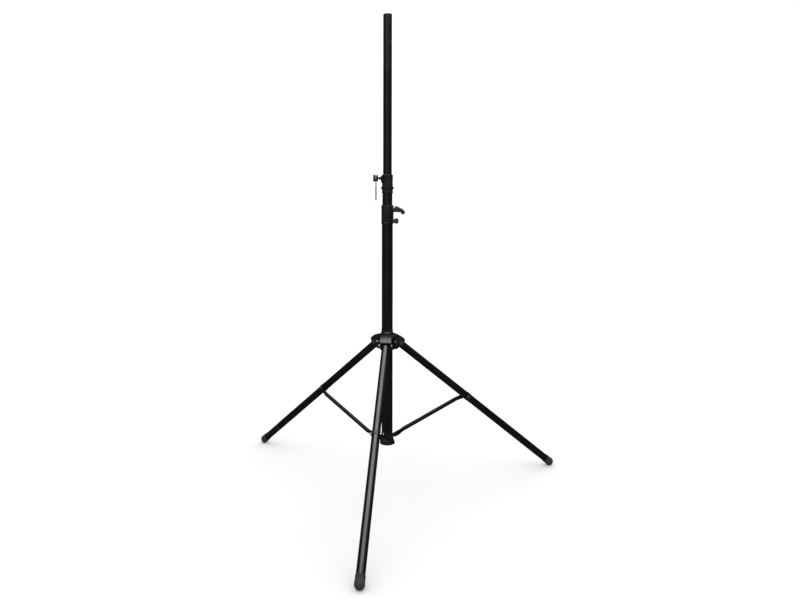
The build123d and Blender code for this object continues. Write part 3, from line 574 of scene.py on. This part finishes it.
class STAND_OT_star_knob(bpy.types.Operator):
    """Sculpts the five-lobed knob that locks the leg carrier"""
    bl_idname = "stand.star_knob"
    bl_label = "Star knob"

    def execute(self, context):
        reach = context.scene.stand_sizes.star_reach
        start, lobes, lobe = 51 * MM, 5, 6.2 * MM
        bm = bmesh.new()
        hub = ((0, 0), (7.6, 0), (8.4, 1), (8.6, 4), (12.5, 6.5), (13, 8), (13, 17), (11, 20), (7, 20.8),
               (6.4, 20), (0, 19.6))
        lathe(bm, outline_mm(hub, start))
        for i in range(lobes):
            turn = Matrix.Rotation(2 * math.pi * i / lobes, 4, "Z")
            arm = bmesh.new()
            lathe(arm, [(r, start + h * MM) for r, h in
                        ((0, 6), (lobe - 2 * MM, 6), (lobe, 8), (lobe, 17), (lobe - 1.5 * MM, 19.4),
                         (0, 20))], 32)
            bmesh.ops.transform(arm, matrix=turn @ Matrix.Translation((reach - lobe, 0, 0)), verts=arm.verts)
            join(bm, arm)
        place = clamp_frame("lock_knob_turn")
        made = fuse(piece("star_knob", bm, place, "black_knob", "lock_knob"), 0.6 * MM, 6)
        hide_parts("hub_lock_knob")
        return {"FINISHED"}


class STAND_OT_plunger_knob(bpy.types.Operator):
    """Turns the plunger's pull knob, with its skirt over the barrel and a knurled rim"""
    bl_idname = "stand.plunger_knob"
    bl_label = "Plunger knob"

    def execute(self, context):
        outline = ((5.9, 38.6), (5.9, 31.6), (7.2, 31.3), (7.7, 31.9), (7.7, 38.4), (8.4, 39.6), (10.4, 41),
                   (11.2, 42.6), (11.4, 44.5), (11.2, 46.4), (10.2, 48), (7.4, 49.6), (6.6, 50.6), (3, 51),
                   (0, 51))
        rim_from, grooves, groove_depth = 11.1 * MM, 18, 0.05
        bm = bmesh.new()
        lathe(bm, outline_mm(outline), 72)
        rim = [vert for vert in bm.verts if math.hypot(vert.co.x, vert.co.y) > rim_from]
        for vert in rim:
            groove = 0.5 + 0.5 * math.cos(grooves * math.atan2(vert.co.y, vert.co.x))
            pull = 1 - groove_depth * groove
            vert.co.x *= pull
            vert.co.y *= pull
        place = plunger_frame("plunger_knob")
        made = piece("pull_knob", bm, place, "black_knob", "plunger")
        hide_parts("plunger_knob")
        return {"FINISHED"}


class STAND_OT_threads(bpy.types.Operator):
    """Cuts the threads that show on the clamp screws and the plunger's barrel"""
    bl_idname = "stand.threads"
    bl_label = "Screw threads"

    def execute(self, context):
        for name, joint, body, radius, start, end, pitch in THREADS:
            thread(name, clamp_frame(joint), radius * MM, start * MM, end * MM, pitch * MM, "black_steel",
                   body)
        thread("barrel_thread", plunger_frame("plunger_barrel"), 5.6 * MM, 31.4 * MM, 37.6 * MM, 1.0 * MM,
               "black_steel", "mast")
        return {"FINISHED"}


class STAND_OT_split_ring(bpy.types.Operator):
    """Winds the split ring that hangs the safety pin on the wing knob"""
    bl_idname = "stand.split_ring"
    bl_label = "Split ring"

    def execute(self, context):
        radius = context.scene.stand_sizes.ring_radius
        wire, turns, steps = 0.45 * MM, 1.9, 120
        low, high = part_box("safety_ring")
        middle = (low + high) / 2
        swing = JOINTS["safety_pin_swing"]
        bm = bmesh.new()
        stand = Matrix.Translation((radius, 0, -wire * turns)) @ Matrix.Rotation(math.pi / 2, 4, "X")
        section = bmesh.ops.create_circle(bm, cap_ends=True, segments=12, radius=wire, matrix=stand)["verts"]
        bmesh.ops.rotate(bm, verts=section, cent=(0, 0, 0), matrix=Matrix.Rotation(math.radians(60), 3, "Z"))
        bmesh.ops.spin(bm, geom=list(bm.faces), axis=(0, 0, 1), cent=(0, 0, 0),
                       dvec=(0, 0, 2 * wire * turns / steps), angle=2 * math.pi * turns, steps=steps)
        place = square_frame(swing["axis"], middle)
        made = piece("split_ring", bm, place, "bright_steel", "safety_pin")
        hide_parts("safety_ring")
        return {"FINISHED"}


class STAND_OT_feet(bpy.types.Operator):
    """Moulds the three rubber feet, with ribbed sockets, flat sides and a flat where they stand"""
    bl_idname = "stand.feet"
    bl_label = "Rubber feet"

    def execute(self, context):
        size = context.scene.stand_sizes
        for side in SIDES:
            self.foot(side, size.ball, size.socket, size.foot_width)
        return {"FINISHED"}

    def foot(self, side, radius, socket, half_width):
        place, length = leg_frame(side)
        tube = 14.7 * MM if side == "left" else 15 * MM
        top = length - 26 * MM
        rib_depth = 0.9 * MM
        profile = [(tube - 1 * MM, top + 1 * MM), (tube + 0.1 * MM, top + 0.4 * MM), (socket - 0.8 * MM, top),
                   (socket, top + 0.8 * MM)]
        for rib in range(3):
            base = top + (4 + 4 * rib) * MM
            profile += [(socket, base), (socket - rib_depth, base + 0.6 * MM),
                        (socket - rib_depth, base + 1.4 * MM), (socket, base + 2 * MM)]
        waist = math.acos(socket / radius)
        for i in range(25):
            angle = -waist + (math.pi / 2 + waist) * i / 24
            profile.append((radius * math.cos(angle), length + radius * math.sin(angle)))
        profile[-1] = (0, profile[-1][1])
        bm = bmesh.new()
        lathe(bm, profile, 72)
        bm.transform(place)
        across = place.col[0].xyz
        middle = place @ Vector((0, 0, length))
        for point, normal in ((middle + across * half_width, across), (middle - across * half_width, -across),
                              (Vector((0, 0, 0)), Vector((0, 0, -1)))):
            cut = bmesh.ops.bisect_plane(bm, geom=bm.verts[:] + bm.edges[:] + bm.faces[:], plane_co=point,
                                         plane_no=normal, clear_outer=True)
            rim = [item for item in cut["geom_cut"] if isinstance(item, bmesh.types.BMEdge)]
            if rim:
                bmesh.ops.contextual_create(bm, geom=rim)
        made = piece(f"rubber_foot_{side}", bm, Matrix.Identity(4), "black_rubber",
                     "level_foot" if side == "left" else f"leg_{side}", 30.0)
        edge = made.modifiers.new("edge", "BEVEL")
        edge.width = 0.7 * MM
        edge.segments = 3
        edge.angle_limit = math.radians(40)
        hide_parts(f"foot_{side}")


# ---- stage --------------------------------------------------------------------------------------
def softbox(name, place, target, size, power):
    """An area light aimed at a point."""
    lamp = bpy.data.lights.new(name, "AREA")
    lamp.shape = "RECTANGLE"
    lamp.size = size[0]
    lamp.size_y = size[1]
    lamp.energy = power
    made = bpy.data.objects.new(name, lamp)
    made.location = place
    made.rotation_euler = (Vector(target) - Vector(place)).to_track_quat("-Z", "Y").to_euler()
    bpy.context.collection.objects.link(made)
    return made


class STAND_OT_studio(bpy.types.Operator):
    """Adds the floor, the lights and the camera"""
    bl_idname = "stand.studio"
    bl_label = "Studio"

    def execute(self, context):
        room = context.scene.stand_studio

        def around(azimuth, distance, height):
            angle = room.azimuth + math.radians(azimuth)
            return (distance * math.cos(angle), distance * math.sin(angle), height)

        bm = bmesh.new()
        bmesh.ops.create_circle(bm, cap_ends=True, radius=40, segments=64)
        mesh = bpy.data.meshes.new("floor")
        bm.to_mesh(mesh)
        bm.free()
        floor = bpy.data.objects.new("floor", mesh)
        context.collection.objects.link(floor)
        pale = bpy.data.materials.new("pale_floor")
        pale.use_nodes = True
        tree = pale.node_tree
        shader = tree.nodes["Principled BSDF"]
        # Painted dark reflection: the floor is pale to the camera and to light, but a near-black grey in the
        # stand's reflections
        glossy = add(tree, "LightPath").outputs["Is Glossy Ray"]
        seen = add(tree, "MixRGB", {"Fac": glossy, "Color1": room.floor_colour[:],
                                    "Color2": grey(room.floor_painted_dark_reflection)})
        tree.links.new(seen.outputs[0], shader.inputs["Base Color"])
        shader.inputs["Roughness"].default_value = 1.0
        shader.inputs["Specular IOR Level"].default_value = 0.0
        mesh.materials.append(pale)
        overhead = softbox("overhead", around(0, 0.65, 3.6), (0, 0, 0.4), (4.0, 2.2), room.overhead)
        overhead.visible_diffuse = False
        softbox("fill", around(-14, 3.6, 2.0), (0, 0, 0.9), (1.6, 2.4), room.fill)
        softbox("backlight", around(150, 3.0, 1.9), (0, 0, 1.0), (0.7, 2.6), room.backlight)
        world = bpy.data.worlds.new("studio")
        context.scene.world = world
        world.use_nodes = True
        tree = world.node_tree
        glossy = add(tree, "LightPath").outputs["Is Glossy Ray"]
        seen = add(tree, "MixRGB", {"Fac": glossy, "Color1": grey(room.backdrop),
                                    "Color2": grey(room.backdrop_gloss)})
        tree.links.new(seen.outputs[0], tree.nodes["Background"].inputs["Color"])
        lens = bpy.data.cameras.new("camera")
        lens.lens = room.lens
        lens.shift_x = room.shift_x
        lens.shift_y = room.shift_y
        lens.clip_end = 200
        camera = bpy.data.objects.new("camera", lens)
        camera.location = around(0, room.distance, room.height)
        camera.rotation_euler = (math.pi / 2 - room.down, 0, room.azimuth + math.pi / 2 + room.aside)
        context.collection.objects.link(camera)
        context.scene.camera = camera
        context.scene.view_settings.view_transform = "Standard"
        return {"FINISHED"}


class STAND_PT_panel(bpy.types.Panel):
    """Lists the stand's builders"""
    bl_label = "Speaker Stand"
    bl_idname = "STAND_PT_panel"
    bl_space_type = "VIEW_3D"
    bl_region_type = "UI"
    bl_category = "Stand"

    def draw(self, context):
        for operator in OPERATORS:
            self.layout.operator(operator.bl_idname)


OPERATORS = (STAND_OT_materials, STAND_OT_edges, STAND_OT_t_handle, STAND_OT_wing_knob, STAND_OT_star_knob,
             STAND_OT_plunger_knob, STAND_OT_threads, STAND_OT_split_ring, STAND_OT_feet, STAND_OT_studio)
CLASSES = (StandColours, PieceSizes, StudioSettings) + OPERATORS + (STAND_PT_panel,)


def register():
    for cls in CLASSES:
        bpy.utils.register_class(cls)
    bpy.types.Scene.stand_colours = PointerProperty(type=StandColours)
    bpy.types.Scene.stand_sizes = PointerProperty(type=PieceSizes)
    bpy.types.Scene.stand_studio = PointerProperty(type=StudioSettings)


def unregister():
    del bpy.types.Scene.stand_colours
    del bpy.types.Scene.stand_sizes
    del bpy.types.Scene.stand_studio
    for cls in reversed(CLASSES):
        bpy.utils.unregister_class(cls)


def main():
    register()
    bpy.ops.stand.materials()
    bpy.ops.stand.edges()
    bpy.ops.stand.t_handle()
    bpy.ops.stand.wing_knob()
    bpy.ops.stand.star_knob()
    bpy.ops.stand.plunger_knob()
    bpy.ops.stand.threads()
    bpy.ops.stand.split_ring()
    bpy.ops.stand.feet()
    bpy.ops.stand.studio()


if __name__ == "__main__":
    main()
